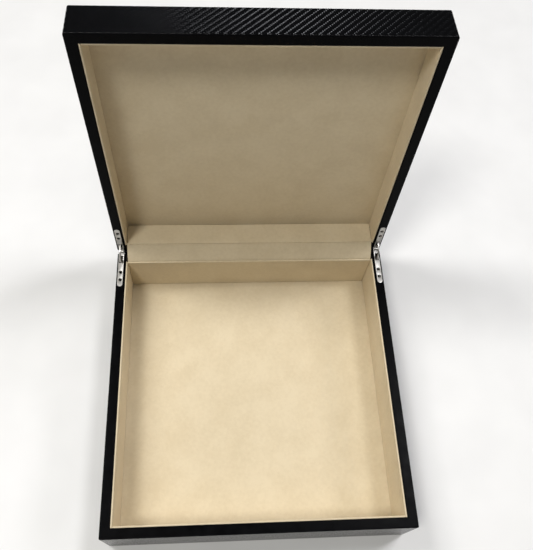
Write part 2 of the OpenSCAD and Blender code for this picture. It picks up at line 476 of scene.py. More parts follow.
@dataclass
class Draft:
    """A mesh being built in a tray frame, with the leatherette sheet's own coordinates."""

    mesh: bmesh.types.BMesh = field(default_factory=bmesh.new)

    def __post_init__(self) -> None:
        """Adds the map that patterned sheets read."""
        self.sheet = self.mesh.loops.layers.uv.new("Sheet")

    def row(self, points: Iterable[Sequence[float]]) -> list[Vertex]:
        """Adds a vertex at each point."""
        return [self.mesh.verts.new(p) for p in points]

    def face(self, corners: Sequence[Vertex], sheet: Sequence[Point] | None = None) -> None:
        """Adds one face.

        Args:
            corners: Its corners in order.
            sheet: Where each corner lies on the flat sheet, if its finish reads it.
        """
        made = self.mesh.faces.new(corners)
        for loop, place in zip(made.loops, sheet or ()):
            loop[self.sheet].uv = place

    def band(self, near: Sequence[Vertex], far: Sequence[Vertex], closed: bool = True) -> None:
        """Joins two rows of vertices, of one length, with plain faces.

        Args:
            near: One row.
            far: The other.
            closed: Whether each row's last vertex joins its first.
        """
        count = len(near)
        for i in range(count if closed else count - 1):
            k = (i + 1) % count
            self.face([near[i], near[k], far[k], far[i]])

    def loft(
        self, rings: Sequence[Sequence[Vector]], u: Sequence[float], v: Sequence[float], closed: bool
    ) -> list[list[Vertex]]:
        """Joins rings of points into a skin.

        Args:
            rings: Rows of points, all of one length.
            u: Sheet coordinate along a ring, one more than its points if the ring is closed.
            v: Sheet coordinate of each ring.
            closed: Whether each ring's last point joins its first.

        Returns:
            The vertices of each ring.
        """
        rows = [self.row(ring) for ring in rings]
        count = len(rings[0])
        for j in range(len(rows) - 1):
            for i in range(count if closed else count - 1):
                k = (i + 1) % count
                self.face(
                    [rows[j][i], rows[j][k], rows[j + 1][k], rows[j + 1][i]],
                    [(u[i], v[j]), (u[i + 1], v[j]), (u[i + 1], v[j + 1]), (u[i], v[j + 1])],
                )
        return rows

    def panel(self, ring: Sequence[Vertex], v_of_y: Callable[[float], float] = float) -> None:
        """Closes a ring with one flat face, whose second sheet coordinate follows from y."""
        self.face(ring, [(p.co.x, v_of_y(p.co.y)) for p in ring])

    def finished(self, name: str, finish: Finish, place: Matrix) -> Object:
        """Turns the draft into an object in its place.

        Args:
            name: The piece's name.
            finish: Its material.
            place: From the draft's own frame to the row frame.

        Returns:
            The object, at the origin, with its place in its mesh.
        """
        bmesh.ops.remove_doubles(self.mesh, verts=self.mesh.verts, dist=1e-7)
        self.mesh.transform(place)
        bmesh.ops.recalc_face_normals(self.mesh, faces=self.mesh.faces)
        return as_object(self.mesh, name, finish)


def arc(centre: Point, radius: float, start: float, end: float, steps: int) -> list[Point]:
    """Points along an arc cut into some steps, from one angle to another in degrees, both ends included."""
    angles = [math.radians(start + (end - start) * i / steps) for i in range(steps + 1)]
    return [(centre[0] + radius * math.cos(a), centre[1] + radius * math.sin(a)) for a in angles]


def rounded(half_x: float, half_y: float, radius: float, run: float = 0.0) -> list[Point]:
    """Points round a rectangle with rounded corners, from its rear left corner past the left and the front.

    Args:
        half_x: Half its width.
        half_y: Half its depth.
        radius: Its corners' radius.
        run: How far before and after each rounding one more point lies, if it isn't zero.

    Returns:
        The points.
    """
    points: list[Point] = []
    for sign_x, sign_y, start in ((-1, 1, 90), (-1, -1, 180), (1, -1, 270), (1, 1, 0)):
        turn = arc((sign_x * (half_x - radius), sign_y * (half_y - radius)), radius, start, start + 90, 6)
        a, b = math.radians(start), math.radians(start + 90)
        if run:
            turn.insert(0, (turn[0][0] + run * math.sin(a), turn[0][1] - run * math.cos(a)))
            turn.append((turn[-1][0] - run * math.sin(b), turn[-1][1] + run * math.cos(b)))
        points += turn
    return points


def lengths(points: Sequence[Sequence[float]]) -> list[float]:
    """Distance along a line of points, from its first point to each."""
    steps = [math.dist(a, b) for a, b in zip(points, points[1:])]
    return list(accumulate(steps, initial=0.0))


def wander(point: Sequence[float], wave: float, seed: float) -> float:
    """Smooth noise from -1 to 1, with swells about one wave wide, which the seed moves."""
    return noise.noise(Vector(point) / wave + Vector((seed, 2.7 * seed, -1.3 * seed)))


# ---- sizes ----


@dataclass(frozen=True)
class Hinging:
    """The hinge axis and how far the lid stands open at rest."""

    axis_y: float
    axis_z: float
    angle: float

    @classmethod
    def from_frame(cls) -> Hinging:
        """Reads the lid's joint."""
        joint = next(j for j in frame["joints"] if j["child"] == "lid")
        _, y, z = joint["pos_m"]
        return cls(y, z, math.radians(joint["range_deg"][1]))

    @property
    def opened(self) -> Matrix:
        """Swings a shut lid to where it rests."""
        pivot = Matrix.Translation((0, self.axis_y, self.axis_z))
        return pivot @ Matrix.Rotation(-self.angle, 4, "X") @ pivot.inverted()


@dataclass(frozen=True)
class Tray:
    """Sizes and place of one half of the box, in its tray frame.

    Attributes:
        body: The body that it moves with, "base" or "lid".
        place: From the tray frame to the row frame.
        up: 1 if the tray's +Z is the shut box's +Z, and -1 if it is turned over.
        boxes: Lowest and highest corner of each of its nodes.
    """

    body: str
    place: Matrix
    up: int
    half_w: float
    half_d: float
    depth: float
    board_x: float
    inner_x: float
    liner_x: float
    trim_t: float
    boxes: dict[str, tuple[Vector, Vector]]

    @classmethod
    def from_frame(cls, body: str, hinging: Hinging) -> Tray:
        """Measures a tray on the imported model.

        Args:
            body: "base" or "lid".
            hinging: Where the lid turns.

        Returns:
            The tray's sizes.
        """
        shut = Matrix.Identity(4) if body == "base" else hinging.opened.inverted()
        up = 1 if body == "base" else -1

        def corners(node: str, to_tray: Matrix) -> tuple[Vector, Vector]:
            """Lowest and highest corner of a node after a transform."""
            points = [to_tray @ v.co for v in frame["nodes"][node].data.vertices]
            low, high = ([pick(p[k] for p in points) for k in range(3)] for pick in (min, max))
            return Vector(low), Vector(high)

        rim_z = corners(f"{body}_rim_trim", shut)[1 if body == "base" else 0].z
        to_tray = Matrix.Diagonal((1, 1, up, 1)) @ Matrix.Translation((0, 0, -rim_z)) @ shut
        members = frame["record"]["behaviour"]["bodies"][body]
        boxes = {node.removeprefix(f"{body}_"): corners(node, to_tray) for node in members}
        wrap, side = boxes["wrap"], boxes["right_board"]
        return cls(
            body=body,
            place=to_tray.inverted(),
            up=up,
            half_w=wrap[1].x,
            half_d=wrap[1].y,
            depth=-wrap[0].z,
            board_x=side[1].x,
            inner_x=side[0].x,
            liner_x=boxes["right_liner"][1].x,
            trim_t=-side[1].z,
            boxes=boxes,
        )


# ---- the leatherette ----


@dataclass
class Cover:
    """The embossed wrap round a tray's walls and over its closed side.

    Attributes:
        run: Length of the narrow face beside each rounding, which keeps the wide faces' shading flat.
        turn_in: How far the wrap is folded in under an open tray.
        turn_sheet: How much of the sheet that fold shows.
        open_under: Whether the wrap leaves the closed side's middle free.
    """

    tray: Tray
    corner_r: float = 1.3 * MM
    least_r: float = 0.2 * MM
    edge_r: float = 1.1 * MM
    rim_r: float = 0.3 * MM
    seam_half: float = 0.3 * MM
    seam_depth: float = 0.25 * MM
    run: float = 0.7 * MM
    turn_in: float = 14 * MM
    turn_sheet: float = 10 * MM
    open_under: bool = False

    def outline(self, inset: float, z: float) -> list[Vector]:
        """One ring round the tray, from the rear seam past the left, front and right walls.

        Args:
            inset: How far the ring lies inside the outer face.
            z: Its height.

        Returns:
            The ring's points.
        """
        half_x, half_y = self.tray.half_w - inset, self.tray.half_d - inset
        notch = self.seam_depth if inset < self.tray.half_w - self.tray.board_x else 0.0
        round_by = rounded(half_x, half_y, max(self.corner_r - inset, self.least_r), self.run)
        points = [(0, half_y - notch), (-self.seam_half, half_y), *round_by, (self.seam_half, half_y)]
        return [Vector((x, y, z)) for x, y in points]

    def profile(self) -> list[Point]:
        """Inset and height of each ring, from the rim over the outside to the closed side."""
        rim_z, low = -self.tray.trim_t, -self.tray.depth
        rim = arc((self.rim_r, rim_z - self.rim_r), self.rim_r, 90, 180, 3)
        edge = arc((self.edge_r, low + self.edge_r), self.edge_r, 180, 270, 6)
        wall = [(0.0, rim[-1][1] - self.run), (0.0, edge[0][1] + self.run)]
        start = (self.tray.half_w - self.tray.board_x, rim_z)
        return [start, *rim, *wall, *edge, (self.edge_r + self.run, low)]

    def build(self) -> Object:
        """Makes the wrap.

        Returns:
            The finished piece.
        """
        tray, low = self.tray, -self.tray.depth
        thick = tray.half_w - tray.board_x
        outer = self.profile()
        inside = [(thick, low + thick), (thick, -tray.trim_t)]
        draft = Draft()
        ring = self.outline(0, 0)
        around = lengths([*ring, ring[0]])
        u = [a - around[-1] / 2 for a in around]
        v = [tray.up * (outer[0][1] - h) for h in lengths(outer)]
        rows = draft.loft([self.outline(*p) for p in outer], u, v, True)
        edge_v, front = v[-1], rows[-1][len(ring) // 2].co.y

        def under(y: float) -> float:
            """Continues the front wall's sheet over the closed side."""
            return edge_v - tray.up * (y - front)

        if self.open_under:
            fold = [outer[-1], (self.turn_in, low), (self.turn_in, low + thick), inside[0]]
            fold_v = [edge_v, edge_v - tray.up * self.turn_sheet, edge_v, edge_v]
            draft.loft([self.outline(*p) for p in fold], u, fold_v, True)
        else:
            draft.panel(rows[-1], under)
        walls = draft.loft([self.outline(*p) for p in inside], u, [0, 0], True)
        if not self.open_under:
            draft.panel(walls[0], under)
        return draft.finished(f"{tray.body}_twill_wrap", TWILL, tray.place)


@dataclass
class RimTrim:
    """The smooth leatherette on the front and side rims, rolled over both edges.

    Attributes:
        turn_in: How far the trim reaches down inside.
        lean: How deep its ripples are.
        long_wave: Width of a wide ripple.
        short_wave: Width of a narrow ripple, half as deep.
        outer_share: How deep the ripples are on the outer edge, against the inner one.
        steps: Points along each side.
    """

    tray: Tray
    outer_r: float = 0.45 * MM
    inner_r: float = 0.8 * MM
    corner_r: float = 1.3 * MM
    least_r: float = 0.25 * MM
    edge_inset: float = 0.02 * MM
    turn_in: float = 10.0 * MM
    lean: float = 0.12 * MM
    long_wave: float = 7 * MM
    short_wave: float = 2.6 * MM
    outer_share: float = 0.15
    steps: int = 60

    def profile(self) -> list[Point]:
        """Inset and height round the trim's section, from the outer edge over the rim and down inside."""
        tray = self.tray
        width, back = tray.half_w - tray.liner_x, tray.half_w - tray.inner_x
        over = arc((self.outer_r, -self.outer_r), self.outer_r, 180, 90, 5)
        flat = [(self.outer_r + (width - self.outer_r - self.inner_r) * i / 8, 0.0) for i in range(1, 8)]
        down = arc((width - self.inner_r, -self.inner_r), self.inner_r, 90, 0, 6)
        inside = [(width, -self.turn_in), (back, -self.turn_in), (back, -tray.trim_t)]
        return [(self.edge_inset, -tray.trim_t), *over, *flat, *down, *inside]

    def line(self, inset: float, z: float, across: float) -> list[Vector]:
        """One line along the trim, from the rear of the left arm round the front to the right arm.

        Args:
            inset: How far the line lies inside the outer face.
            z: Its height.
            across: How far over the rim it is, from 0 outside to 1 inside.

        Returns:
            The line's points.
        """
        tray = self.tray
        half_x, half_y = tray.half_w - inset, tray.half_d - inset
        radius = max(self.corner_r - inset, self.least_r)
        centre = (-half_x + radius, -half_y + radius)
        reach, bar = tray.half_d - centre[1], -2 * centre[0]
        left = [(-half_x, tray.half_d - reach * i / self.steps) for i in range(self.steps)]
        left += arc(centre, radius, 180, 270, 5)
        front = [(centre[0] + bar * i / self.steps, -half_y) for i in range(1, self.steps)]
        right = [(-x, y) for x, y in reversed(left)]
        seed = 3.1 if tray.body == "base" else 7.9
        # the film is pulled over the inner edge by hand, so it ripples there and less so outside
        lean = self.lean * (self.outer_share + (1 - self.outer_share) * across**3)
        lean *= z > -self.turn_in / 2
        made = []
        for x, y in [*left, *front, *right]:
            ripple = wander((x, y, 0), self.long_wave, seed)
            ripple += wander((x, y, 0), self.short_wave, seed + 5) / 2
            made.append(Vector((x, y, min(z - abs(lean * ripple), 0.0))))
        return made

    def build(self) -> Object:
        """Makes the trim.

        Returns:
            The finished piece.
        """
        profile = self.profile()
        width = max(p[0] for p in profile)
        lines = [self.line(inset, z, inset / width) for inset, z in profile]
        v = lengths(profile)
        draft = Draft()
        rows = draft.loft([*lines, lines[0]], lengths(lines[0]), [*v, v[-1]], False)
        for end in (0, -1):
            draft.face([row[end] for row in rows[:-1]], [(0, h) for h in v])
        return draft.finished(f"{self.tray.body}_rim_leatherette", SMOOTH, self.tray.place)


# ---- the lining ----


class Facing(Enum):
    """Which way a liner's suede face looks in its tray: across, along and out of the board."""

    FLOOR = ((1, 0, 0), (0, 1, 0), (0, 0, 1))
    FRONT = ((-1, 0, 0), (0, 0, 1), (0, 1, 0))
    REAR = ((1, 0, 0), (0, 0, 1), (0, -1, 0))
    LEFT = ((0, 1, 0), (0, 0, 1), (1, 0, 0))
    RIGHT = ((0, -1, 0), (0, 0, 1), (-1, 0, 0))


@dataclass
class Liner:
    """A card board wrapped in suede: soft edges, a slightly full face and a faint unevenness.

    Attributes:
        edge_stations: Grid positions beside each edge, in edge radii.
        fullness: How much higher the middle of the face is than its edges.
        inland: How far in from an edge the face reaches most of its fullness.
        swell: Height of the unevenness, and swell_w its width.
    """

    tray: Tray
    facing: Facing
    node: str
    seed: float
    edge_r: float = 0.7 * MM
    back_r: float = 0.6 * MM
    edge_stations: tuple[float, ...] = (0, 0.06, 0.2, 0.4, 0.65, 1.0, 1.8, 3.2)
    fullness: float = 0.12 * MM
    inland: float = 6 * MM
    swell: float = 0.10 * MM
    swell_w: float = 22 * MM
    spacing: float = 4.5 * MM

    def stations(self, length: float) -> list[float]:
        """Grid positions along one side, close together on the rounded edges.

        Args:
            length: The side's length.

        Returns:
            The positions, from 0 to the length.
        """
        edge = [self.edge_r * s for s in self.edge_stations]
        inner = length - 2 * edge[-1]
        count = max(2, round(inner / self.spacing))
        middle = [edge[-1] + inner * i / count for i in range(1, count)]
        return [*edge, *middle, *[length - e for e in reversed(edge)]]

    def height(self, x: float, y: float, size: Point, thick: float) -> float:
        """Height of the suede over the board's back.

        Args:
            x: Place across the board.
            y: Place along the board.
            size: The board's width and length.
            thick: The board's thickness.

        Returns:
            The height.
        """
        gap_x, gap_y = min(x, size[0] - x), min(y, size[1] - y)
        drop_x, drop_y = (max(0.0, self.edge_r - g) for g in (gap_x, gap_y))
        curve = math.sqrt(max(0.0, self.edge_r**2 - drop_x**2 - drop_y**2))
        edge = thick - self.fullness - self.edge_r + curve
        inland = 1 - math.exp(-min(gap_x, gap_y) / self.inland)
        swell = self.swell * wander((x, y, 0), self.swell_w, self.seed)
        return edge + inland * (self.fullness * 0.6 + 0.4 * swell)

    def build(self) -> Object:
        """Makes the liner in the space of its node.

        Returns:
            The finished piece.
        """
        low, high = self.tray.boxes[self.node]
        across, along, out = (Vector(v) for v in self.facing.value)
        corner = Vector([low[k] if (across + along + out)[k] > 0 else high[k] for k in range(3)])
        size = (abs((high - low) @ across), abs((high - low) @ along))
        thick = abs((high - low) @ out)
        columns, rows = self.stations(size[0]), self.stations(size[1])
        draft = Draft()

        def at(x: float, y: float, z: float) -> Vector:
            """A point of the board, in the tray frame."""
            return corner + across * x + along * y + out * z

        grid = [[at(x, y, self.height(x, y, size, thick)) for x in columns] for y in rows]
        made = draft.loft(grid, columns, rows, False)
        right, left = [r[-1] for r in made[1:-1]], [r[0] for r in made[-2:0:-1]]
        ring = [*made[0], *right, *reversed(made[-1]), *left]
        spots = [((v.co - corner) @ across, (v.co - corner) @ along) for v in ring]
        for inset, z in arc((self.back_r, self.back_r), self.back_r, 180, 270, 3):
            drawn_in = [[min(max(g, inset), full - inset) for g, full in zip(s, size)] for s in spots]
            inner = draft.row(at(x, y, z) for x, y in drawn_in)
            draft.band(ring, inner)
            ring = inner
        draft.face(ring)
        return draft.finished(f"{self.tray.body}_{self.node}_suede", SUEDE, self.tray.place)


@dataclass
class JointStrip:
    """A strip that is glued to both rear walls and crosses the joint between them.

    Attributes:
        thick: Thickness of the strip.
        pull: How far each glued end holds the free part straight, as a share of its span.
        slot: Not used.
        flap: What its two nodes are called, without the tray.
        holds: The two pieces or nodes that it is glued to.
        short: How far each end of the strip stops short of its flaps' ends.
    """

    base: Tray
    lid: Tray
    thick: float
    pull: float
    name: str
    finish: Finish
    slot: str
    flap: str
    holds: tuple[str, str]
    short: float = 0.0
    wave: float = 0.10 * MM
    wave_w: float = 30 * MM
    curve_steps: int = 20
    columns: int = 60

    def glued(self, tray: Tray) -> list[Point]:
        """The middle line of one glued end: y and z in its tray's frame, up to where the free part begins."""
        raise NotImplementedError

    def glued_in_row(self, tray: Tray) -> list[Vector]:
        """The middle line of one glued end, as y and z in the row frame."""
        return [(tray.place @ Vector((0, y, z))).yz for y, z in self.glued(tray)]

    def middle_line(self) -> list[Vector]:
        """The whole middle line, from the base's glued end to the lid's."""
        near, far = self.glued_in_row(self.base), self.glued_in_row(self.lid)
        a, b = near[-1], far[-1]
        reach = (b - a).length * self.pull
        lead = [a, a + (a - near[-2]).normalized() * reach, b + (b - far[-2]).normalized() * reach, b]
        curve = []
        for i in range(1, self.curve_steps):
            t = i / self.curve_steps
            weights = ((1 - t) ** 3, 3 * t * (1 - t) ** 2, 3 * t * t * (1 - t), t**3)
            curve.append(sum((p * w for p, w in zip(lead, weights)), Vector((0, 0))))
        return [*near, *curve, *reversed(far)]

    def face_rows(self, line: Sequence[Vector], across: Sequence[float], side: int) -> list[list[Vector]]:
        """The points of one face of the strip.

        Args:
            line: Its middle line.
            across: Places across it.
            side: 1 for one face and -1 for the other.

        Returns:
            A row of points at each point of the line.
        """
        along = lengths(line)
        rows = []
        for i, point in enumerate(line):
            way = (line[min(i + 1, len(line) - 1)] - line[max(i - 1, 0)]).normalized()
            free = self.wave * math.sin(math.pi * along[i] / along[-1])
            waves = [free * wander((x, 0, along[i]), self.wave_w, 4.4) for x in across]
            offs = [Vector((-way.y, way.x)) * (side * self.thick / 2 + wave) for wave in waves]
            rows.append([Vector((x, *(point + off))) for x, off in zip(across, offs)])
        return rows

    def build(self) -> Object:
        """Makes the strip.

        Returns:
            The finished piece, curved between the base and the lid as they rest.
        """
        line = self.middle_line()
        half = self.base.boxes[f"{self.flap}_base_flap"][1].x - self.short
        across = [-half + 2 * half * i / self.columns for i in range(self.columns + 1)]
        along = lengths(line)
        draft = Draft()
        rows = [self.face_rows(line, across, side) for side in (1, -1)]
        front, back = (draft.loft(face, across, along, False) for face in rows)
        for k in (0, -1):
            draft.band([row[k] for row in front], [row[k] for row in back], closed=False)
            draft.band(front[k], back[k], closed=False)
        piece = draft.finished(self.name, self.finish, Matrix.Identity(4))
        ends = [self.glued_in_row(tray)[-1] for tray in (self.base, self.lid)]
        list(self.holds)
        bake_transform(piece)
        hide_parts(f"{self.flap}_base_flap", f"{self.flap}_lid_flap")
        return piece


@dataclass
class Gusset(JointStrip):
    """The suede strip inside the joint: it comes up behind both rear liners and is taut across the corner."""

    thick: float = 0.6 * MM
    pull: float = 0.22
    name: str = "suede_gusset"
    finish: Finish = SUEDE
    slot: str = "cream_suede"
    flap: str = "gusset"
    holds: tuple[str, str] = ("base_rear_board", "lid_rear_board")
    gap: float = 0.05 * MM
    tuck: float = 4.5 * MM
    roll_r: float = 1.4 * MM
    roll_z: float = -1.35 * MM
    lean: float = 136.0
    short: float = 1.4 * MM

    def glued(self, tray: Tray) -> list[Point]:
        """The end that comes up behind the liner and rolls towards the corner."""
        start_y = tray.liner_x + self.thick / 2 + self.gap
        roll = arc((start_y + self.roll_r, self.roll_z), self.roll_r, 180, self.lean, 5)
        return [(start_y, -self.tuck), *roll]


@dataclass
class Spine(JointStrip):
    """The smooth black strip behind the joint, glued down the outside of both rear walls."""

    thick: float = 0.4 * MM
    pull: float = 0.5
    name: str = "leatherette_spine"
    finish: Finish = SMOOTH
    slot: str = "smooth_leatherette"
    flap: str = "spine"
    holds: tuple[str, str] = ("base_twill_wrap", "lid_twill_wrap")

    def glued(self, tray: Tray) -> list[Point]:
        """The end that is glued down the rear wall."""
        low, high = tray.boxes[f"spine_{tray.body}_flap"]
        return [(tray.half_d + self.thick / 2, low.z + (high.z - low.z) * i / 3) for i in range(4)]


# ---- the hardware ----


def merged(node: str) -> bmesh.types.BMesh:
    """Copies a node's mesh and joins its loose triangles."""
    draft = bmesh.new()
    draft.from_mesh(frame["nodes"][node].data)
    bmesh.ops.remove_doubles(draft, verts=draft.verts, dist=WELD)
    return draft


@dataclass
class Hardware:
    """The hinges: leaves, pins and stays with their pressed edges broken, and their screws.

    Attributes:
        dome: The screw head's section: shares of its radius, and heights in millimetres.
        screw_sink: How far the screws lie below the rim face.
    """

    break_edge: float = 0.14 * MM
    pressed_sharp: float = 25.0
    dome: tuple[Point, ...] = ((0.0, 0.12), (0.45, 0.09), (0.8, 0.02), (0.95, -0.04), (1.0, -0.14))
    screw_head_r: float = 1.72 * MM
    screw_head_h: float = 1.0 * MM
    screw_sink: float = 0.12 * MM
    screw_shank_r: float = 0.9 * MM
    screw_l: float = 9.0 * MM
    point_l: float = 2.0 * MM
    point_r: float = 0.2 * MM
    recess_w: float = 0.5 * MM
    recess_l: float = 2.4 * MM
    recess_h: float = 0.7 * MM

    def refined(self, node: str, body: str) -> Object:
        """Copies a hinge part and rounds its pressed edges.

        Args:
            node: The part's node.
            body: The body that it moves with.

        Returns:
            The finished piece.
        """
        draft = merged(node)
        flat = math.radians(1)
        bmesh.ops.dissolve_limit(draft, angle_limit=flat, verts=draft.verts, edges=draft.edges, delimit=set())
        piece = as_object(draft, f"{node}_nickel", NICKEL)
        bevel = piece.modifiers.new("broken_edges", "BEVEL")
        bevel.width = self.break_edge
        bevel.segments = 2
        bevel.limit_method = "ANGLE"
        bevel.angle_limit = math.radians(40)
        piece.data = coat(evaluated(piece), NICKEL, self.pressed_sharp)
        return dress(piece, body, "nickel_plated_steel", node)

    def screw_body(self) -> Object:
        """Turns one screw: a slightly domed countersunk head, a shank and a point, head at z = 0."""
        shank, tip = self.screw_shank_r, -self.screw_l
        section = [(share * self.screw_head_r, z * MM) for share, z in self.dome]
        section += [(shank, -self.screw_head_h), (shank, tip + self.point_l), (self.point_r, tip), (0.0, tip)]
        draft = bmesh.new()
        points = [draft.verts.new((x, 0, z)) for x, z in section]
        edges = [draft.edges.new(pair) for pair in zip(points, points[1:])]
        whole = {"axis": (0, 0, 1), "cent": (0, 0, 0), "angle": 2 * math.pi}
        bmesh.ops.spin(draft, geom=points + edges, steps=28, **whole)
        bmesh.ops.remove_doubles(draft, verts=draft.verts, dist=1e-6)
        bmesh.ops.recalc_face_normals(draft, faces=draft.faces)
        return as_object(draft, "screw_pattern", SCREW_PAINTED_SHADE)

    def screw_tree(self, pattern: Object) -> bpy.types.NodeTree:
        """Builds the tree that cuts a cross recess into a screw and sets one screw at each point.

        Args:
            pattern: The turned screw.

        Returns:
            The tree, with inputs for the recess and for the turn of the screws.
        """
        tree = bpy.data.node_groups.new("driven_screws", "GeometryNodeTree")
        face = tree.interface
        for way in ("INPUT", "OUTPUT"):
            face.new_socket("Geometry", in_out=way, socket_type="NodeSocketGeometry")
        sizes = {"Width": self.recess_w, "Length": self.recess_l, "Depth": self.recess_h}
        for name, value in sizes.items():
            size = face.new_socket(f"Recess {name}", in_out="INPUT", socket_type="NodeSocketFloat")
            size.default_value = value
        face.new_socket("Seed", in_out="INPUT", socket_type="NodeSocketInt").default_value = 5
        given = add_node(tree, "NodeGroupInput").outputs

        def add(kind: str, inputs: dict, output: str, **settings: object) -> Socket:
            """Adds a node, as add_node does, and gives its output of that name."""
            return add_node(tree, kind, inputs, **settings).outputs[output]

        screw = add("GeometryNodeObjectInfo", {"Object": pattern}, "Geometry")
        # each bar reaches as far above the head as it cuts into it
        deep = add("ShaderNodeMath", {0: given["Recess Depth"], 1: 2.0}, "Value", operation="MULTIPLY")
        bars = []
        for x, y in (("Length", "Width"), ("Width", "Length")):
            sides = {"X": given[f"Recess {x}"], "Y": given[f"Recess {y}"], "Z": deep}
            size = add("ShaderNodeCombineXYZ", sides, "Vector")
            bars.append(add("GeometryNodeMeshCube", {"Size": size}, "Mesh"))
        solids = {"Mesh 1": screw, "Mesh 2": bars}
        cut = add("GeometryNodeMeshBoolean", solids, "Mesh", operation="DIFFERENCE")
        turns = {"Min": (0, 0, 0), "Max": (0, 0, math.pi / 2), "Seed": given["Seed"]}
        turn = add("FunctionNodeRandomValue", turns, "Value", data_type="FLOAT_VECTOR")
        driven = {"Points": given["Geometry"], "Instance": cut, "Rotation": turn}
        placed = add("GeometryNodeInstanceOnPoints", driven, "Instances")
        solid = add("GeometryNodeRealizeInstances", {0: placed}, "Geometry")
        dressed = {"Geometry": solid, "Material": SCREW_PAINTED_SHADE.material()}
        add_node(tree, "NodeGroupOutput", {0: add("GeometryNodeSetMaterial", dressed, "Geometry")})
        return tree

    def screw_places(self, node: str, tray: Tray) -> list[Vector]:
        """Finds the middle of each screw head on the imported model.

        Args:
            node: The node that holds the screws.
            tray: The tray that they are driven into.

        Returns:
            One point for each screw, just below the rim face in the tray frame.
        """
        draft = merged(node)
        draft.transform(tray.place.inverted())
        left, places = set(draft.verts), []
        while left:
            island, edge = set(), [left.pop()]
            while edge:
                vertex = edge.pop()
                island.add(vertex)
                near = {e.other_vert(vertex) for e in vertex.link_edges} & left
                left -= near
                edge += near
            xs, ys = ([v.co[k] for v in island] for k in (0, 1))
            places.append(Vector(((min(xs) + max(xs)) / 2, (min(ys) + max(ys)) / 2, -self.screw_sink)))
        draft.free()
        return sorted(places, key=lambda p: (p.x, p.y))

    def screws(self, tray: Tray, tree: bpy.types.NodeTree) -> Object:
        """Drives the screws of one tray.

        Args:
            tray: The tray.
            tree: The tree from screw_tree.

        Returns:
            The finished screws as one piece.
        """
        node = f"{tray.body}_hinge_screws"
        points = bpy.data.meshes.new("screw_points")
        points.from_pydata(self.screw_places(node, tray), [], [])
        holder = link("screw_points", points)
        driver = holder.modifiers.new("driven_screws", "NODES")
        driver.node_group = tree
        seed = next(i for i in tree.interface.items_tree if i.name == "Seed" and i.in_out == "INPUT")
        driver[seed.identifier] = 5 if tray.body == "base" else 11
        data = evaluated(holder)
        bpy.data.objects.remove(holder)
        data.transform(tray.place)
        if tray.up < 0:
            data.flip_normals()
        piece = link(f"{tray.body}_crosshead_screws", coat(data, SCREW_PAINTED_SHADE))
        return dress(piece, tray.body, "nickel_plated_steel", node)

    def build(self, trays: Iterable[Tray]) -> list[Object]:
        """Makes all the hardware.

        Args:
            trays: The base and the lid.

        Returns:
            The finished pieces.
        """
        pieces = []
        for body, nodes in frame["record"]["behaviour"]["bodies"].items():
            parts = [node for node in nodes if node.endswith(("_leaf", "_pin", "_stay"))]
            pieces += [self.refined(node, body) for node in parts]
        pattern = self.screw_body()
        tree = self.screw_tree(pattern)
        pieces += [self.screws(tray, tree) for tray in trays]
        bpy.data.objects.remove(pattern)
        return pieces


# ---- assemblies ----


@dataclass
class HingeMortises:
    """What the hinge leaves take out of a tray's rim: two long pockets, round at their far ends."""

    tray: Tray
    clearance: float = 0.1 * MM
    deep: float = 1.7 * MM
    above: float = 2.0 * MM
    behind: float = 4.0 * MM

    def cutter(self) -> Object:
        """Makes both mortises as one cutting solid in the row frame.

        Returns:
            The cutter.
        """
        draft = bmesh.new()
        for side in ("left", "right"):
            low, high = self.tray.boxes[f"{side}_{self.tray.body}_leaf"]
            middle, radius = (low.x + high.x) / 2, (high.x - low.x) / 2 + self.clearance
            ahead, rear = low.y + (high.x - low.x) / 2, high.y + self.behind
            outline = [(middle + radius, rear), (middle - radius, rear)]
            outline += arc((middle, ahead), radius, 180, 360, 14)
            rings = [[draft.verts.new((x, y, z)) for x, y in outline] for z in (-self.deep, self.above)]
            count = len(outline)
            for i in range(count):
                k = (i + 1) % count
                draft.faces.new([rings[0][i], rings[0][k], rings[1][k], rings[1][i]])
            draft.faces.new(rings[0])
            draft.faces.new(rings[1])
        draft.transform(self.tray.place)
        bmesh.ops.recalc_face_normals(draft, faces=draft.faces)
        return as_object(draft, "mortise_cutter", BOARD)


@dataclass
class LinedTray:
    """One half of the box with its wrap, trim and lining."""

    tray: Tray
    open_under: bool

    def carved(self, piece: Object, cutter: Object, finish: Finish) -> Object:
        """Cuts a solid out of a piece.

        Args:
            piece: The piece to cut.
            cutter: The solid to take away.
            finish: The piece's finish, which the cut faces take too.

        Returns:
            The same piece.
        """
        cut = piece.modifiers.new("mortises", "BOOLEAN")
        cut.operation, cut.solver, cut.object = "DIFFERENCE", "EXACT", cutter
        piece.data = coat(evaluated(piece), finish)
        return piece

    def build(self) -> list[Object]:
        """Makes the tray's pieces, and coats its boards.

        Returns:
            The finished pieces.
        """
        tray, body = self.tray, self.tray.body
        cutter = HingeMortises(tray).cutter()
        wrap = self.carved(Cover(tray, open_under=self.open_under).build(), cutter, TWILL)
        trim = self.carved(RimTrim(tray).build(), cutter, SMOOTH)
        bpy.data.objects.remove(cutter)
        pieces = [
            dress(wrap, body, "embossed_leatherette", f"{body}_wrap"),
            dress(trim, body, "smooth_leatherette", f"{body}_rim_trim"),
        ]
        for number, facing in enumerate(Facing):
            side = facing.name.lower()
            if facing is Facing.FLOOR and body == "lid":
                side = "top"
            liner = Liner(tray, facing, f"{side}_liner", seed=10.0 * number + tray.up).build()
            pieces.append(dress(liner, body, "cream_suede", f"{body}_{side}_liner"))
        for node in frame["record"]["behaviour"]["bodies"][body]:
            if node.endswith("_board"):
                for place in frame["nodes"][node].material_slots:
                    place.material = BOARD.material()
        return pieces


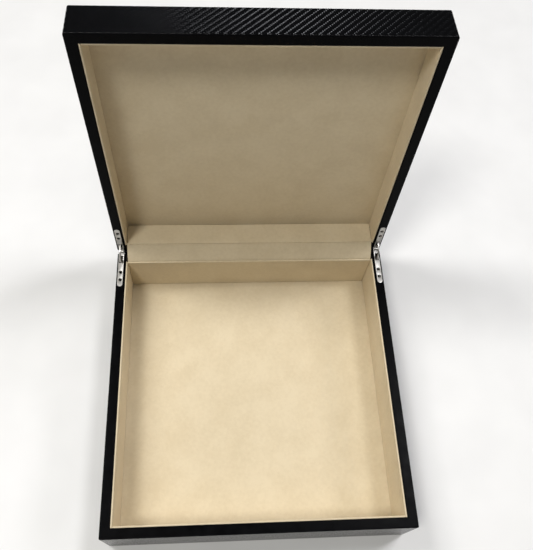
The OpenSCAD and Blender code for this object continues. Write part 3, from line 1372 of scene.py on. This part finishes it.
@dataclass
class FlockSheet:
    """The flocked sheet glued over the folded wrap under the base."""

    tray: Tray
    corner_r: float = 3.0 * MM
    least_r: float = 0.1 * MM
    edge_r: float = 0.25 * MM
    border: float = 3.0 * MM

    def build(self) -> Object:
        """Makes the sheet.

        Returns:
            The finished piece.
        """
        low, high = self.tray.boxes["flock_sheet"]
        edge = arc((self.edge_r, low.z + self.edge_r), self.edge_r, 180, 270, 4)
        profile = [(0.0, high.z), *edge, (self.border, low.z)]
        rings = []
        for inset, z in profile:
            corner_r = max(self.corner_r - inset, self.least_r)
            rings.append([Vector((*p, z)) for p in rounded(high.x - inset, high.y - inset, corner_r)])
        draft = Draft()
        rows = draft.loft(rings, lengths([*rings[0], rings[0][0]]), lengths(profile), True)
        for row in (rows[0], rows[-1]):
            draft.panel(row)
        piece = draft.finished("base_flocked_sheet", FLOCK, self.tray.place)
        return dress(piece, "base", "black_flock", "base_flock_sheet")


# ---- the studio ----


def aimed(spot: Vector, target: Vector, roll: float = 0.0) -> Matrix:
    """Puts a lamp or a camera at a spot, turns it to a target and rolls it by some degrees."""
    turn = (target - spot).to_track_quat("-Z", "Y").to_matrix().to_4x4()
    return Matrix.Translation(spot) @ turn @ Matrix.Rotation(math.radians(roll), 4, "Z")


@dataclass(frozen=True)
class Lamp:
    """One soft round light: the compass direction and height that it shines from, its size and its power.

    Attributes:
        compass: Degrees round from the front of the box: 90 is its left, 180 its rear and 270 its right.
        height: Degrees above the tabletop.
    """

    name: str
    compass: float
    height: float
    size: float
    watts: float
    colour: str
    away: float = 2.5

    def build(self, target: Vector) -> None:
        """Makes the light, facing a target."""
        round_by, up_by = math.radians(self.compass), math.radians(self.height)
        flat = math.cos(up_by)
        way = Vector((-math.sin(round_by) * flat, -math.cos(round_by) * flat, math.sin(up_by)))
        data = bpy.data.lights.new(self.name, "AREA")
        data.shape, data.size, data.energy = "DISK", self.size, self.watts
        data.color = linear(self.colour)[:3]
        link(self.name, data).matrix_world = aimed(target + way * self.away, target)


@dataclass
class Studio:
    """A pale tabletop, soft light and the camera.

    Attributes:
        lit: The point that the lamps face.
        sky_rise: Height on the sky's unit ball at which it is brightest.
    """

    eye: Vector = field(default_factory=lambda: Vector((-0.0325, -0.1839, 0.6228)))
    looks_at: Vector = field(default_factory=lambda: Vector((0.0086, 0.1145, 0.0550)))
    roll: float = 6.23
    lens: float = 42.82
    sensor: float = 36.0
    shift: Point = (0.0125, -0.0163)
    clip: Point = (0.01, 50.0)
    floor_half: float = 6.0
    lit: Vector = field(default_factory=lambda: Vector((0, 0, 0.06)))
    lamps: tuple[Lamp, ...] = (
        Lamp("left_window", 110, 51, 0.55, 11.8, "#FFFDFA"),
        Lamp("left_high", 118, 61, 0.55, 15.4, "#FEFDFC"),
        Lamp("key", 50, 67, 0.55, 22.2, "#FFFDF8"),
        Lamp("rear_right", 244, 67, 0.55, 18.6, "#FDFDFF"),
        Lamp("right_low", 247, 38, 0.55, 12.6, "#FBFAFF"),
        Lamp("front_high", 330, 75, 0.55, 4.2, "#FFFDFA"),
        Lamp("rear_window", 176, 17, 0.4, 2.4, "#F6F8FF"),
    )
    sky_colour: str = "#FFFDF8"
    sky_top: float = 0.05
    sky_side: float = 0.03
    sky_rise: float = 0.9

    def camera(self) -> None:
        """Makes the camera and makes it the scene's."""
        data = bpy.data.cameras.new("camera")
        data.lens, data.sensor_width = self.lens, self.sensor
        data.shift_x, data.shift_y = self.shift
        data.clip_start, data.clip_end = self.clip
        camera = link("camera", data)
        camera.matrix_world = aimed(self.eye, self.looks_at, self.roll)
        bpy.context.scene.camera = camera

    def floor(self) -> None:
        """Makes the tabletop."""
        half = self.floor_half
        data = bpy.data.meshes.new("tabletop")
        corners = [(-half, -half, 0), (half, -half, 0), (half, half, 0), (-half, half, 0)]
        data.from_pydata(corners, [], [(0, 1, 2, 3)])
        data.materials.append(TABLE.material())
        link("tabletop", data)

    def sky(self) -> None:
        """Makes the soft light of a pale room: brighter above than at the sides."""
        world = bpy.data.worlds.new("room")
        world.use_nodes = True
        tree = world.node_tree
        tree.nodes.clear()
        way = add_node(tree, "ShaderNodeTexCoord").outputs["Generated"]
        height = add_node(tree, "ShaderNodeSeparateXYZ", {0: way}).outputs["Z"]
        span = {"From Min": 0.0, "From Max": self.sky_rise, "To Min": self.sky_side, "To Max": self.sky_top}
        level = add_node(tree, "ShaderNodeMapRange", {"Value": height, **span}).outputs["Result"]
        glow = {"Color": linear(self.sky_colour), "Strength": level}
        light = add_node(tree, "ShaderNodeBackground", glow).outputs["Background"]
        add_node(tree, "ShaderNodeOutputWorld", {"Surface": light})
        bpy.context.scene.world = world
        bpy.context.scene.view_settings.view_transform = "Standard"

    def build(self) -> None:
        """Sets up the whole studio."""
        self.camera()
        self.floor()
        for lamp in self.lamps:
            lamp.build(self.lit)
        self.sky()


def main() -> None:
    """Builds the studio and the box, and reports each piece."""
    logging.basicConfig(level=logging.INFO, format="%(message)s")
    hinging = Hinging.from_frame()
    base, lid = (Tray.from_frame(body, hinging) for body in ("base", "lid"))
    Studio().build()
    pieces = LinedTray(base, open_under=True).build() + LinedTray(lid, open_under=False).build()
    pieces += [FlockSheet(base).build(), Gusset(base, lid).build(), Spine(base, lid).build()]
    pieces += Hardware().build((base, lid))
    for piece in pieces:
        log.info("%s: %d faces", piece.name, len(piece.data.polygons))


if __name__ == "__main__":
    main()
